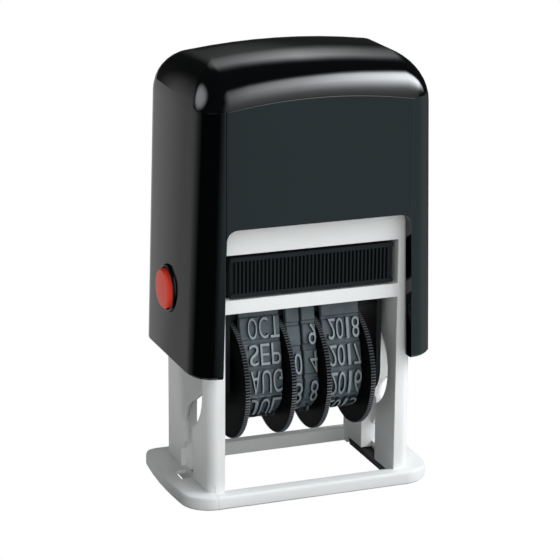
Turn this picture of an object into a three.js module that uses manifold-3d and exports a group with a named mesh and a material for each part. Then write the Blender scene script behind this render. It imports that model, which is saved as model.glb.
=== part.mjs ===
// A small self-inking date stamp, in millimetres: X is its width, -Y its front, +Z up.
// The origin is on the surface that it stands on, under the middle of the stamp.
// The cover is pressed down over a white frame. Its bridge carries the date unit, which turns over
// on the way down, from the ink pad above to the paper below.
import * as THREE from "three";
import { mergeVertices } from "three/addons/utils/BufferGeometryUtils.js";
import Module from "manifold-3d";

const wasm = await Module();
wasm.setup();

// Clearances, and how far a cutter passes the face that it cuts
const fit = 0.3;
const snug = 0.1;
const overrun = 1;

// Stroke: the cover's travel, and the reach from the turning axis to the type face
const pressTravel = 17;
const typeReach = 6.5;
const pivotHeight = pressTravel + typeReach;
const typeHeight = pivotHeight + typeReach;

// Date unit between the side walls, and the walls about it
const unitHalfWidth = 11.8;
const unitSideGap = 1.08;
const sidePlateThickness = 0.7;
const openingHalfWidth = unitHalfWidth + unitSideGap;
const wallThickness = 2.4;
const wallOuter = openingHalfWidth + wallThickness;
const frameHalfDepth = 9.4;

// Foot plate
const plateFlange = 2.92;
const plateLip = 1.5;
const plateHalfWidth = wallOuter + plateFlange;
const plateHalfDepth = frameHalfDepth + plateLip;
const plateHeight = 2;
const plateStripDepth = 2;
const plateCornerRadius = 3.8;
const plateRearRadius = 1.6;
const plateBow = 0.8;
const plateSideSteps = 3;
const plateTopSoftening = 0.5;
const plateBottomSoftening = 0.2;
const plateCornerSteps = 8;
const notchReach = 1.7;
const notchRear = 0.65;
const reliefHeight = 1.5;
const reliefRear = 7;

// Frame on the plate: two grooved side walls, tied by rails, aprons and a deck
const openingHalfDepth = plateHalfDepth - plateStripDepth;
const wallTopChamfer = 0.8;
const wallOuterRadius = 1.4;
const railHeight = 1.95;
const railDepth = 1.6;
const padSlotHeight = 6.45;
const apronHeight = 4.65;
const apronDepth = 1;
const slotTop = typeHeight + padSlotHeight;
const frameTop = slotTop + apronHeight;

// Cam groove in the inner face of each side wall, and its opening through the outer skin
const grooveDepth = 1.7;
const grooveHalfWidth = 2.5;
const pocketRadius = 6.6;
const pocketDrop = 7.6;
const pocketHeight = pivotHeight - pocketDrop;
const pocketSegments = 40;
const skinEdgeShares = [[-1.2, 0.16], [-1, 0.04], [-0.1, -0.5], [0.06, -0.66], [0.14, -0.82], [0.17, -0.98]];
const skinStepTop = 6.2;
const skinStepBottom = 4.6;

// Rubber strips under the side walls
const stripHalfLength = 7.6;
const stripWidth = 1.8;
const stripHeight = 0.8;
const stripCornerRadius = 0.5;

// Deck over the pad, with the cup that holds the spring
const deckThickness = 1;
const cupWall = 0.8;
const cupInnerRadius = 4.3;

// Ink pad: a cassette with a ribbed grip, and the felt in it
const cassetteSideGap = 0.78;
const cassetteHalfWidth = openingHalfWidth - cassetteSideGap;
const cassetteHeight = 5.75;
const cassetteWall = 1.1;
const cassetteRoof = 2.4;
const gripFlange = 0.6;
const gripThickness = 0.8;
const gripRibCount = 41;
const gripRibDepth = 0.4;
const gripEndMargin = 0.5;
const feltThickness = 2.9;
const feltCornerRadius = 0.8;

// Cover: a tapered shell with a crowned top and a window in front and behind
const coverSideWall = 1.6;
const coverFrontWall = 2;
const coverSideGap = 1.28;
const coverFrontGap = 0.6;
const coverHalfWidth = wallOuter + coverSideGap + coverSideWall;
const coverHalfDepth = frameHalfDepth + coverFrontGap + coverFrontWall;
const landingGap = 0.57;
const coverBottom = plateHeight + pressTravel + landingGap;
const coverHeadroom = 5.3;
const coverTop = frameTop + pressTravel + coverHeadroom;
const coverCornerRadius = 4.1;
const coverTaper = 0.025;
const coverRoof = 1.1;
const domeRise = 5.8;
const domeSideReach = 4.8;
const domeFrontReach = 9.5;
const domeInnerRadius = 4.2;
const domeSharpCorner = 0.2;
const crownSag = 1.5;
const rimSoftening = 0.35;
const windowMargin = 1.2;
const windowHalfWidth = openingHalfWidth + windowMargin;
const windowTopDrop = 0.43;
const windowTop = frameTop - windowTopDrop;
const windowCornerRadius = 1.5;
const coverSteps = { corner: 6, front: 8 };
const domeSteps = 10;

// Lock buttons in the cover's sides, each in a collar
const buttonRise = 10.23;
const buttonHeight = coverBottom + buttonRise;
const buttonProud = 1.2;
const buttonDomeRise = 0.35;
const buttonFlangeRadius = 3.4;
const buttonFlangeThickness = 0.45;
const collarInnerRadius = 2.95;
const collarOuterRadius = 3.35;
const collarSeatDepth = 0.45;
const collarProud = 0.45;
const buttonRadius = collarInnerRadius - snug;
const pocketBehindButton = 0.85;
const ringSegments = 32;

// Bridge: a crossbar under the cover's top, with two arms that run in the cam grooves
const armGap = 0.57;
const armInner = openingHalfWidth + armGap;
const armThickness = 0.85;
const armOuter = armInner + armThickness;
const armHalfWidth = grooveHalfWidth - fit;
const crossbarThickness = 1.6;
const crossbarHalfDepth = 4;
const crossbarChamfer = 1.4;
const springGuideRadius = 2.5;
const springGuideLength = 2.6;
const bridgeBossRadius = 3;

// Return spring between the deck's cup and the bridge
const springRadius = 3.5;
const springWire = 0.6;
const springCurls = 6;
const springStepsPerCurl = 8;
const springSides = 5;

// Date unit: two side plates that hold the platen and the wheels' axle
const unitInnerHalf = unitHalfWidth - sidePlateThickness;
const sidePlateTopDrop = 1.6;
const sidePlateTop = typeHeight - sidePlateTopDrop;
const sidePlateTopRadius = 1;
const sidePlateEndRadius = 4.4;
const sidePlateShoulderDrop = 2.5;
const sidePlateShoulder = pivotHeight - sidePlateShoulderDrop;
const sheetCornerSteps = 10;
const trunnionRadius = 1.2;
const trunnionBore = trunnionRadius + snug;
const guidePinRadius = 1;
const guidePinDrop = 5.2;
const guidePinReach = 0.3;
const axleDrop = 7.1;
const axleHeight = pivotHeight - axleDrop;
const axleForward = 2;
const axleRadius = 1.1;
const axleBore = axleRadius + snug;
const axleHeadRadius = 1.45;
const axleHeadThickness = 0.5;
const spacerRadius = 2.2;
const tenonHalfDepth = 1.5;
const tenonHeight = 1.8;
const roundSegments = 24;

// Bands of raised type blocks round the platen and the drums
const bandBase = 0.7;
const typeRise = 0.8;
const bandThickness = bandBase + typeRise;
const noseRadius = 3;
const noseHalfFlat = 1.8;
const cordShare = 0.7;
const blockCount = 13;
const blockShare = 0.84;
const blockSteps = 4;
const loopCornerSteps = 24;

// Setting wheels: a serrated rim, and a drum that carries the band
const wheelRadius = 8.76;
const wheelTeeth = 128;
const toothDepth = 0.24;
const rimThickness = 0.7;
const drumRadius = 4.4;
const rimInset = 0.1;
const hubLength = 0.5;

// Along the date unit from its left side plate: each band's share of the room for bands, the side
// that its wheel's rim is on, and the gap on the right of the two. The sleeve has what is left.
const wheelGap = 0.2;
const bandGap = 0.35;
const rimRoom = rimInset + rimThickness;
const columnShares = [
  { name: "month", share: 0.35, rimSide: -1, gap: wheelGap },
  { name: "day_tens", share: 0.119, rimSide: -1, gap: bandGap },
  { name: "day_units", share: 0.119, rimSide: 1, gap: wheelGap },
  { name: "year", share: 0.338, rimSide: 1, gap: fit },
];
const gapsRoom = columnShares.reduce((sum, column) => sum + column.gap + rimRoom, 0);
const bandRoom = 2 * unitInnerHalf - fit - hubLength - gapsRoom - fit;

// Each column's left and right edge
function placedColumns() {
  const placed = [];
  let edge = -unitInnerHalf + fit + hubLength;
  for (const column of columnShares) {
    const left = edge + (column.rimSide < 0 ? rimRoom : 0);
    const right = left + bandRoom * column.share;
    placed.push({ ...column, left, right });
    edge = right + (column.rimSide > 0 ? rimRoom : 0) + column.gap;
  }
  return placed;
}
const columns = placedColumns();

// Materials
function material(color, roughness, metalness = 0) {
  return new THREE.MeshStandardMaterial({ color, roughness, metalness });
}
const whitePlastic = () => material(0xe4e7e7, 0.4);
const blackGloss = () => material(0x14171a, 0.12);
const blackPlastic = () => material(0x17191b, 0.45);
const redPlastic = () => material(0xcd3e30, 0.35);
const bandRubber = () => material(0x6e7d84, 0.6);
const blackRubber = () => material(0x101010, 0.9);
const felt = () => material(0x202024, 1);
const steel = () => material(0xb4b8bc, 0.3, 1);

// Solids: geometry to manifold and back
function solid(geometry) {
  const bare = geometry.index ? geometry.toNonIndexed() : geometry.clone();
  bare.deleteAttribute("normal");
  bare.deleteAttribute("uv");
  const merged = mergeVertices(bare, 1e-4);
  const made = new wasm.Manifold(
    new wasm.Mesh({
      numProp: 3,
      vertProperties: merged.attributes.position.array,
      triVerts: new Uint32Array(merged.index.array),
    }),
  );
  return made;
}

function geometryOf(made) {
  const mesh = made.getMesh();
  const geometry = new THREE.BufferGeometry();
  geometry.setAttribute("position", new THREE.BufferAttribute(mesh.vertProperties, 3));
  geometry.setIndex(new THREE.BufferAttribute(mesh.triVerts, 1));
  return geometry.toNonIndexed();
}

function joined(solids) {
  return solids.reduce((all, next) => all.add(next));
}

function cut(body, cutters) {
  return cutters.reduce((left, cutter) => left.subtract(cutter), body);
}

// A span on one side of the middle, in rising order
function span(side, near, far) {
  return side > 0 ? [near, far] : [-far, -near];
}

// A box between two corners
function box(x0, x1, y0, y1, z0, z1) {
  const geometry = new THREE.BoxGeometry(x1 - x0, y1 - y0, z1 - z0);
  geometry.translate((x0 + x1) / 2, (y0 + y1) / 2, (z0 + z1) / 2);
  return solid(geometry);
}

// A prism along X of a shape drawn in Y and Z
function prismX(shape, x0, x1, curveSegments = 12) {
  const options = { depth: x1 - x0, bevelEnabled: false, curveSegments };
  const geometry = new THREE.ExtrudeGeometry(shape, options);
  const turn = new THREE.Matrix4().makeBasis(
    new THREE.Vector3(0, 1, 0),
    new THREE.Vector3(0, 0, 1),
    new THREE.Vector3(1, 0, 0),
  );
  geometry.applyMatrix4(turn);
  geometry.translate(x0, 0, 0);
  return solid(geometry);
}

// A prism along Y of a shape drawn in X and Z
function prismY(shape, y0, y1, curveSegments = 12) {
  const options = { depth: y1 - y0, bevelEnabled: false, curveSegments };
  const geometry = new THREE.ExtrudeGeometry(shape, options);
  const turn = new THREE.Matrix4().makeBasis(
    new THREE.Vector3(1, 0, 0),
    new THREE.Vector3(0, 0, 1),
    new THREE.Vector3(0, -1, 0),
  );
  geometry.applyMatrix4(turn);
  geometry.translate(0, y1, 0);
  return solid(geometry);
}

// A prism along Z of a shape drawn in X and Y
function prismZ(shape, z0, z1, curveSegments = 12) {
  const options = { depth: z1 - z0, bevelEnabled: false, curveSegments };
  const geometry = new THREE.ExtrudeGeometry(shape, options);
  geometry.translate(0, 0, z0);
  return solid(geometry);
}

// A round rod along X
function rodX(radius, x0, x1, y, z, segments = roundSegments) {
  const geometry = new THREE.CylinderGeometry(radius, radius, x1 - x0, segments);
  geometry.rotateZ(-Math.PI / 2);
  geometry.translate((x0 + x1) / 2, y, z);
  return solid(geometry);
}

// A round rod along Z
function rodZ(radius, z0, z1, segments = roundSegments) {
  const geometry = new THREE.CylinderGeometry(radius, radius, z1 - z0, segments);
  geometry.rotateX(Math.PI / 2);
  geometry.translate(0, 0, (z0 + z1) / 2);
  return solid(geometry);
}

// A turned piece about an axis along X, from points [distance out along X, radius].
// The points run so that the material lies to their left.
function turnedX(points, direction, y, z, segments = ringSegments) {
  const profile = points.map(([along, radius]) => new THREE.Vector2(radius, along));
  const geometry = new THREE.LatheGeometry(profile, segments);
  geometry.rotateZ(-Math.PI / 2);
  if (direction < 0) geometry.rotateY(Math.PI);
  geometry.translate(0, y, z);
  return solid(geometry);
}

// A polygon from points [u, v, radius], with rounded corners where a radius is given
function outline(points) {
  const shape = new THREE.Shape();
  const count = points.length;
  points.forEach(([u, v, radius = 0], i) => {
    const before = points[(i + count - 1) % count];
    const after = points[(i + 1) % count];
    const here = new THREE.Vector2(u, v);
    const back = new THREE.Vector2(before[0], before[1]).sub(here);
    const ahead = new THREE.Vector2(after[0], after[1]).sub(here);
    const start = here.clone().addScaledVector(back, radius / back.length());
    const end = here.clone().addScaledVector(ahead, radius / ahead.length());
    if (i === 0) shape.moveTo(start.x, start.y);
    else shape.lineTo(start.x, start.y);
    if (radius > 0) shape.bezierCurveTo(...arcHandles(start, here, end), end.x, end.y);
  });
  shape.closePath();
  return shape;
}

// Handles of the cubic curve that comes nearest to a quarter circle
function arcHandles(start, corner, end) {
  const handleShare = 0.5523;
  const first = start.clone().lerp(corner, handleShare);
  const second = end.clone().lerp(corner, handleShare);
  return [first.x, first.y, second.x, second.y];
}

// A closed shape through points [u, v]
function polygon(points) {
  return new THREE.Shape(points.map(([u, v]) => new THREE.Vector2(u, v)));
}

// The front half of a ring of points round a rounded rectangle, left to right
function halfRing(halfX, halfY, radius, steps) {
  const front = [];
  const straight = halfY - radius;
  const sideSteps = steps.side || 0;
  for (let i = 0; i < sideSteps; i++) front.push([-halfX, (-straight * (i + 1 / 2)) / sideSteps]);
  for (let i = 0; i <= steps.corner; i++) {
    const angle = (Math.PI / 2) * (i / steps.corner);
    const x = -halfX + radius - radius * Math.cos(angle);
    const y = -halfY + radius - radius * Math.sin(angle);
    front.push([x, y]);
  }
  const turn = front.length - 1;
  const flat = halfX - radius;
  for (let i = 1; i < steps.front; i++) front.push([-flat + (2 * flat * i) / steps.front, -halfY]);
  for (let i = turn; i >= 0; i--) front.push([-front[i][0], front[i][1]]);
  return front;
}

// A closed ring: the front half left to right, then the rear half back again. Its sides may bow out
// and its height may sag away from the middle.
function ring(halfX, halfY, radii, z, steps, bow = 0, sagAt = () => 0) {
  const front = halfRing(halfX, halfY, radii[0], steps);
  const rear = halfRing(halfX, halfY, radii[1], steps);
  const back = rear.map(([x, y]) => [x, -y]).reverse();
  return [...front, ...back].map(([x, y]) => {
    const out = bow * (1 - (y / halfY) ** 2);
    return new THREE.Vector3(x + Math.sign(x) * out, y, z - sagAt(x));
  });
}

// A closed body through rings of equal counts, lowest first, with ladders of triangles as its ends
function loft(rings) {
  const size = rings[0].length;
  const points = rings.flat();
  const triangles = [];
  for (let level = 0; level + 1 < rings.length; level++) {
    for (let i = 0; i < size; i++) {
      const a = level * size + i;
      const b = level * size + ((i + 1) % size);
      triangles.push(a, b, b + size, a, b + size, a + size);
    }
  }
  const last = (rings.length - 1) * size;
  for (let i = 0; i + 1 < size / 2; i++) {
    const mirror = size - 1 - i;
    triangles.push(i, mirror - 1, i + 1, i, mirror, mirror - 1);
    triangles.push(last + i, last + i + 1, last + mirror - 1, last + i, last + mirror - 1, last + mirror);
  }
  const geometry = new THREE.BufferGeometry();
  const positions = points.flatMap((p) => [p.x, p.y, p.z]);
  geometry.setAttribute("position", new THREE.Float32BufferAttribute(positions, 3));
  geometry.setIndex(triangles);
  return solid(geometry);
}

// Foot plate with softened edges and sides that bow out a little
function footPlate() {
  const easedShare = 0.3;
  const levels = [
    [0, plateBottomSoftening],
    [plateBottomSoftening, 0],
    [plateHeight - plateTopSoftening, 0],
    [plateHeight - plateTopSoftening * easedShare, plateTopSoftening * easedShare],
    [plateHeight, plateTopSoftening],
  ];
  const rings = levels.map(([z, inset]) => {
    const radii = [plateCornerRadius - inset, plateRearRadius - inset];
    const steps = { corner: plateCornerSteps, front: 1, side: plateSideSteps };
    return ring(plateHalfWidth - inset, plateHalfDepth - inset, radii, z, steps, plateBow);
  });
  return loft(rings);
}

// A side wall with rounded outer corners and a chamfer along its top
function sideWall(side) {
  const inner = side * openingHalfWidth;
  const outer = side * wallOuter;
  const plan = outline([
    [inner, -frameHalfDepth],
    [outer, -frameHalfDepth, wallOuterRadius],
    [outer, frameHalfDepth, wallOuterRadius],
    [inner, frameHalfDepth],
  ]);
  const profile = outline([
    [inner, 0],
    [outer, 0],
    [outer, frameTop - wallTopChamfer],
    [outer - side * wallTopChamfer, frameTop],
    [inner, frameTop],
  ]);
  const upright = prismZ(plan, plateHeight / 2, frameTop, 5);
  return upright.intersect(prismY(profile, -frameHalfDepth, frameHalfDepth));
}

// The straight slot and the round pocket in front of it, between two distances out along X
function camSpace(x0, x1, bottom) {
  const slot = box(x0, x1, -grooveHalfWidth, grooveHalfWidth, bottom, frameTop + overrun);
  const round = rodX(pocketRadius, x0, x1, 0, pocketHeight, pocketSegments);
  const low = pocketHeight - pocketRadius - overrun;
  const high = pocketHeight + pocketRadius + overrun;
  return slot.add(round.intersect(box(x0, x1, -pocketRadius - overrun, 0, low, high)));
}

// The part of the cam space that is open through the outer skin
function skinOpening(x0, x1) {
  const edge = skinEdgeShares.map(([across, up]) => [
    across * pocketRadius,
    pocketHeight + up * pocketRadius,
  ]);
  const rear = edge[edge.length - 1][0];
  const below = polygon([
    [edge[0][0], plateHeight],
    [grooveHalfWidth, plateHeight],
    [grooveHalfWidth, skinStepBottom],
    [rear, skinStepTop],
    ...[...edge].reverse(),
  ]);
  return camSpace(x0, x1, plateHeight).intersect(prismX(below, x0, x1));
}

function sideCutters(side) {
  const groove = span(side, openingHalfWidth - fit, openingHalfWidth + grooveDepth);
  const through = span(side, openingHalfWidth - fit, wallOuter + overrun);
  const notch = span(side, wallOuter - snug, wallOuter + notchReach);
  const strip = span(side, openingHalfWidth - overrun, openingHalfWidth + stripWidth + fit);
  const stripSpace = stripHalfLength + fit;
  return [
    camSpace(...groove, plateHeight),
    skinOpening(...through),
    box(...groove, -grooveHalfWidth, grooveHalfWidth, -overrun, plateHeight + overrun),
    box(...notch, -grooveHalfWidth, notchRear, -overrun, plateHeight + snug),
    box(...notch, -grooveHalfWidth, reliefRear, -overrun, reliefHeight),
    box(...strip, -stripSpace, stripSpace, -overrun, stripHeight + fit),
  ];
}

// The white frame, one moulding: plate, side walls, rails under the pad, aprons and deck over it
function baseFrame() {
  const halfSpan = openingHalfWidth + wallThickness / 2;
  const roof = slotTop + deckThickness;
  const pieces = [footPlate()];
  for (const side of [-1, 1]) {
    const rail = span(side, frameHalfDepth - railDepth, frameHalfDepth);
    const apron = span(side, frameHalfDepth - apronDepth, frameHalfDepth);
    pieces.push(sideWall(side));
    pieces.push(box(-halfSpan, halfSpan, ...rail, typeHeight - railHeight, typeHeight));
    pieces.push(box(-halfSpan, halfSpan, ...apron, slotTop, frameTop));
  }
  const deckHalfDepth = frameHalfDepth - apronDepth / 2;
  pieces.push(box(-halfSpan, halfSpan, -deckHalfDepth, deckHalfDepth, slotTop, roof));
  pieces.push(rodZ(cupInnerRadius + cupWall, slotTop, frameTop - fit, ringSegments));
  const paperOpening = box(
    -openingHalfWidth,
    openingHalfWidth,
    -openingHalfDepth,
    openingHalfDepth,
    -overrun,
    plateHeight + overrun,
  );
  const cup = rodZ(cupInnerRadius, roof, frameTop + overrun, ringSegments);
  return cut(joined(pieces), [paperOpening, cup, ...sideCutters(-1), ...sideCutters(1)]);
}

// A rubber strip in the plate's underside
function footStrip(side) {
  const near = side * (openingHalfWidth + snug);
  const far = side * (openingHalfWidth + stripWidth);
  const plan = outline([
    [near, -stripHalfLength, stripCornerRadius],
    [far, -stripHalfLength, stripCornerRadius],
    [far, stripHalfLength, stripCornerRadius],
    [near, stripHalfLength, stripCornerRadius],
  ]);
  return prismZ(plan, 0, stripHeight, 3);
}

// The cassette's grip: upright ribs between two flanges
function gripPlan(front, back) {
  const ribShares = [0.1, 0.32, 0.68, 0.9];
  const reach = cassetteHalfWidth - gripEndMargin;
  const pitch = (2 * reach) / gripRibCount;
  const points = [[-cassetteHalfWidth, back], [-cassetteHalfWidth, front + gripRibDepth]];
  for (let i = 0; i < gripRibCount; i++) {
    const depths = [gripRibDepth, 0, 0, gripRibDepth];
    depths.forEach((depth, k) => points.push([-reach + (i + ribShares[k]) * pitch, front + depth]));
  }
  points.push([cassetteHalfWidth, front + gripRibDepth]);
  points.push([cassetteHalfWidth, back]);
  return polygon(points);
}

const cassetteBottom = typeHeight + fit;
const cassetteTop = cassetteBottom + cassetteHeight;
const feltHalfWidth = cassetteHalfWidth - cassetteWall - fit;
const feltHalfDepth = frameHalfDepth - gripThickness - cassetteWall - fit;

function padCassette() {
  const front = -frameHalfDepth;
  const gripBack = front + gripThickness;
  const half = cassetteHalfWidth;
  const pocketDepth = feltHalfDepth + fit;
  const pocketWidth = feltHalfWidth + fit;
  const pocketTop = cassetteTop - cassetteRoof;
  const ribSpan = [cassetteBottom + gripFlange / 2, cassetteTop - gripFlange / 2];
  const tray = box(-half, half, front + gripRibDepth, frameHalfDepth - fit, cassetteBottom, cassetteTop);
  const ribs = prismZ(gripPlan(front, gripBack), ...ribSpan);
  const flanges = [cassetteBottom, cassetteTop - gripFlange].map((z) =>
    box(-half, half, front, gripBack, z, z + gripFlange),
  );
  const pocket = box(
    -pocketWidth,
    pocketWidth,
    -pocketDepth,
    pocketDepth,
    cassetteBottom - overrun,
    pocketTop,
  );
  return cut(joined([tray, ribs, ...flanges]), [pocket]);
}

function padFelt() {
  const plan = outline([
    [-feltHalfWidth, -feltHalfDepth, feltCornerRadius],
    [feltHalfWidth, -feltHalfDepth, feltCornerRadius],
    [feltHalfWidth, feltHalfDepth, feltCornerRadius],
    [-feltHalfWidth, feltHalfDepth, feltCornerRadius],
  ]);
  return prismZ(plan, cassetteBottom, cassetteBottom + feltThickness, 3);
}

// Half width of the cover's outside at a height
function coverHalfAt(z) {
  return coverHalfWidth - coverTaper * (z - coverBottom);
}

// The cover's outer form, or its hollow: a body on low rings, under a dome with its own rise and reach
function coverForm(inset, dome, lowRings) {
  const domeStart = coverTop - inset.top - dome.rise;
  const halfX = coverHalfAt(domeStart);
  const sagAt = (x) => crownSag * (x / halfX) ** 2;
  const rings = lowRings.map(([z, extra]) => {
    const x = coverHalfAt(z) - inset.side - extra;
    const y = coverHalfDepth - inset.front - extra;
    const corner = coverCornerRadius - inset.side - extra;
    return ring(x, y, [corner, corner], z, coverSteps);
  });
  for (let i = 0; i <= domeSteps; i++) {
    const angle = (Math.PI / 2) * (i / domeSteps);
    const shrinkX = dome.sideReach * (1 - Math.cos(angle));
    const shrinkY = dome.frontReach * (1 - Math.cos(angle));
    const z = domeStart + dome.rise * Math.sin(angle);
    const corner = Math.max(coverCornerRadius - inset.side - shrinkX, domeSharpCorner);
    const x = halfX - inset.side - shrinkX;
    const y = coverHalfDepth - inset.front - shrinkY;
    rings.push(ring(x, y, [corner, corner], z, coverSteps, 0, sagAt));
  }
  return loft(rings);
}

function windowCutter() {
  const low = coverBottom - overrun;
  const topHalf = windowHalfWidth - coverTaper * (windowTop - coverBottom);
  const plan = outline([
    [-windowHalfWidth, low],
    [windowHalfWidth, low],
    [topHalf, windowTop, windowCornerRadius],
    [-topHalf, windowTop, windowCornerRadius],
  ]);
  return prismY(plan, -coverHalfDepth - overrun, coverHalfDepth + overrun, 5);
}

const buttonFace = coverHalfAt(buttonHeight);

function coverShell() {
  const outsideDome = { rise: domeRise, sideReach: domeSideReach, frontReach: domeFrontReach };
  const insideDome = { rise: domeInnerRadius, sideReach: domeInnerRadius, frontReach: domeInnerRadius };
  const lip = [[coverBottom, rimSoftening], [coverBottom + rimSoftening, 0]];
  const outside = coverForm({ side: 0, front: 0, top: 0 }, outsideDome, lip);
  const hollow = { side: coverSideWall, front: coverFrontWall, top: coverRoof };
  const inside = coverForm(hollow, insideDome, [[coverBottom - overrun, 0]]);
  const cutters = [inside, windowCutter()];
  for (const side of [-1, 1]) {
    const hole = span(side, buttonFace - coverSideWall - overrun, buttonFace + overrun);
    const seat = span(side, buttonFace - collarSeatDepth, buttonFace + overrun);
    const pocket = span(side, buttonFace - coverSideWall - overrun, buttonFace - pocketBehindButton);
    cutters.push(rodX(collarInnerRadius + snug, ...hole, 0, buttonHeight, ringSegments));
    cutters.push(rodX(collarOuterRadius + snug, ...seat, 0, buttonHeight, ringSegments));
    cutters.push(rodX(buttonFlangeRadius + snug, ...pocket, 0, buttonHeight, ringSegments));
  }
  return cut(outside, cutters);
}

// A collar with a rounded lip, seated in the cover's side
function lockCollar(side) {
  const easedShare = 0.3;
  const seat = buttonFace - collarSeatDepth + snug;
  const lip = buttonFace + collarProud;
  const middle = (collarInnerRadius + collarOuterRadius) / 2;
  const half = (collarOuterRadius - collarInnerRadius) / 2;
  return turnedX(
    [
      [seat, collarInnerRadius],
      [seat, collarOuterRadius],
      [lip - half, collarOuterRadius],
      [lip - half * easedShare, middle + half * (1 - easedShare)],
      [lip, middle],
      [lip - half * easedShare, middle - half * (1 - easedShare)],
      [lip - half, collarInnerRadius],
      [seat, collarInnerRadius],
    ],
    side,
    0,
    buttonHeight,
  );
}

// A button with a domed face, held in by a flange in the pocket behind the cover's wall
function lockButton(side) {
  const bevelShare = 0.7;
  const crownShare = 0.9;
  const flangeOut = buttonFace - pocketBehindButton - snug;
  const flangeIn = flangeOut - buttonFlangeThickness;
  const edge = buttonFace + buttonProud - buttonDomeRise;
  const bevel = buttonDomeRise * bevelShare;
  return turnedX(
    [
      [flangeIn, 0],
      [flangeIn, buttonFlangeRadius],
      [flangeOut, buttonFlangeRadius],
      [flangeOut, buttonRadius],
      [edge, buttonRadius],
      [edge + bevel, buttonRadius - bevel],
      [edge + buttonDomeRise * crownShare, buttonRadius / 2],
      [edge + buttonDomeRise, 0],
    ],
    side,
    0,
    buttonHeight,
  );
}

// The bridge clears the frame's top by one fit when the cover is down
const crossbarBottom = frameTop + pressTravel + fit;
const crossbarTop = crossbarBottom + crossbarThickness;

function pressBridge() {
  const bar = outline([
    [-armOuter, crossbarBottom],
    [armOuter, crossbarBottom],
    [armOuter, crossbarTop - crossbarChamfer],
    [armOuter - crossbarChamfer, crossbarTop],
    [-armOuter + crossbarChamfer, crossbarTop],
    [-armOuter, crossbarTop - crossbarChamfer],
  ]);
  const pieces = [prismY(bar, -crossbarHalfDepth, crossbarHalfDepth)];
  for (const side of [-1, 1]) {
    const arm = new THREE.Shape();
    arm.moveTo(-armHalfWidth, crossbarBottom + fit);
    arm.lineTo(-armHalfWidth, pivotHeight);
    arm.absarc(0, pivotHeight, armHalfWidth, Math.PI, 2 * Math.PI, false);
    arm.lineTo(armHalfWidth, crossbarBottom + fit);
    arm.closePath();
    const bore = span(side, armInner - overrun, armOuter + overrun);
    const upright = prismX(arm, ...span(side, armInner, armOuter));
    pieces.push(cut(upright, [rodX(trunnionBore, ...bore, 0, pivotHeight)]));
  }
  const seatTop = crossbarBottom + crossbarThickness / 2;
  pieces.push(rodZ(springGuideRadius, crossbarBottom - springGuideLength, seatTop));
  pieces.push(rodZ(bridgeBossRadius, seatTop, coverTop - coverRoof - fit));
  return joined(pieces);
}

// The return spring: one tube along a helix whose ends run straight for one wire diameter
function springPath() {
  const bottom = slotTop + deckThickness + fit + springWire / 2;
  const top = crossbarBottom - fit - springWire / 2;
  const steps = springCurls * springStepsPerCurl;
  const points = [];
  for (let i = 0; i <= steps; i++) {
    const angle = (2 * Math.PI * i) / springStepsPerCurl;
    const z = bottom + ((top - bottom) * i) / steps;
    points.push(new THREE.Vector3(springRadius * Math.cos(angle), springRadius * Math.sin(angle), z));
  }
  const first = new THREE.Vector3(0, -springWire, 0).add(points[0]);
  const last = new THREE.Vector3(0, springWire, 0).add(points[steps]);
  return [first, ...points, last];
}

function returnSpring() {
  const path = springPath();
  const positions = [];
  const triangles = [];
  path.forEach((point, i) => {
    const before = path[Math.max(i - 1, 0)];
    const after = path[Math.min(i + 1, path.length - 1)];
    const along = after.clone().sub(before).normalize();
    const inside = path[Math.min(Math.max(i, 1), path.length - 2)];
    const out = new THREE.Vector3(inside.x, inside.y, 0).normalize();
    out.addScaledVector(along, -out.dot(along)).normalize();
    const third = new THREE.Vector3().crossVectors(along, out);
    for (let k = 0; k < springSides; k++) {
      const angle = (2 * Math.PI * k) / springSides;
      const place = point
        .clone()
        .addScaledVector(out, (springWire / 2) * Math.cos(angle))
        .addScaledVector(third, (springWire / 2) * Math.sin(angle));
      positions.push(place.x, place.y, place.z);
    }
  });
  for (let i = 0; i + 1 < path.length; i++) {
    for (let k = 0; k < springSides; k++) {
      const a = i * springSides + k;
      const b = i * springSides + ((k + 1) % springSides);
      triangles.push(a, b, b + springSides, a, b + springSides, a + springSides);
    }
  }
  const end = (path.length - 1) * springSides;
  for (let k = 1; k + 1 < springSides; k++) {
    triangles.push(0, k + 1, k);
    triangles.push(end, end + k, end + k + 1);
  }
  const geometry = new THREE.BufferGeometry();
  geometry.setAttribute("position", new THREE.Float32BufferAttribute(positions, 3));
  geometry.setIndex(triangles);
  return solid(geometry);
}

// The least gap between two curls of the spring, measured between the points of its path
function springGap() {
  const path = springPath();
  let least = Infinity;
  path.forEach((a, i) =>
    path.forEach((b, j) => {
      if (Math.abs(i - j) > springStepsPerCurl / 2) least = Math.min(least, a.distanceTo(b));
    }),
  );
  return least - springWire;
}

// The platen's heights: it clears the wheels' rims below it
const noseHeight = typeHeight - bandThickness - noseRadius;
const platenRadius = noseRadius - fit;
const platenBottom = axleHeight + wheelRadius + fit;
const tenonBottom = platenBottom;

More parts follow.
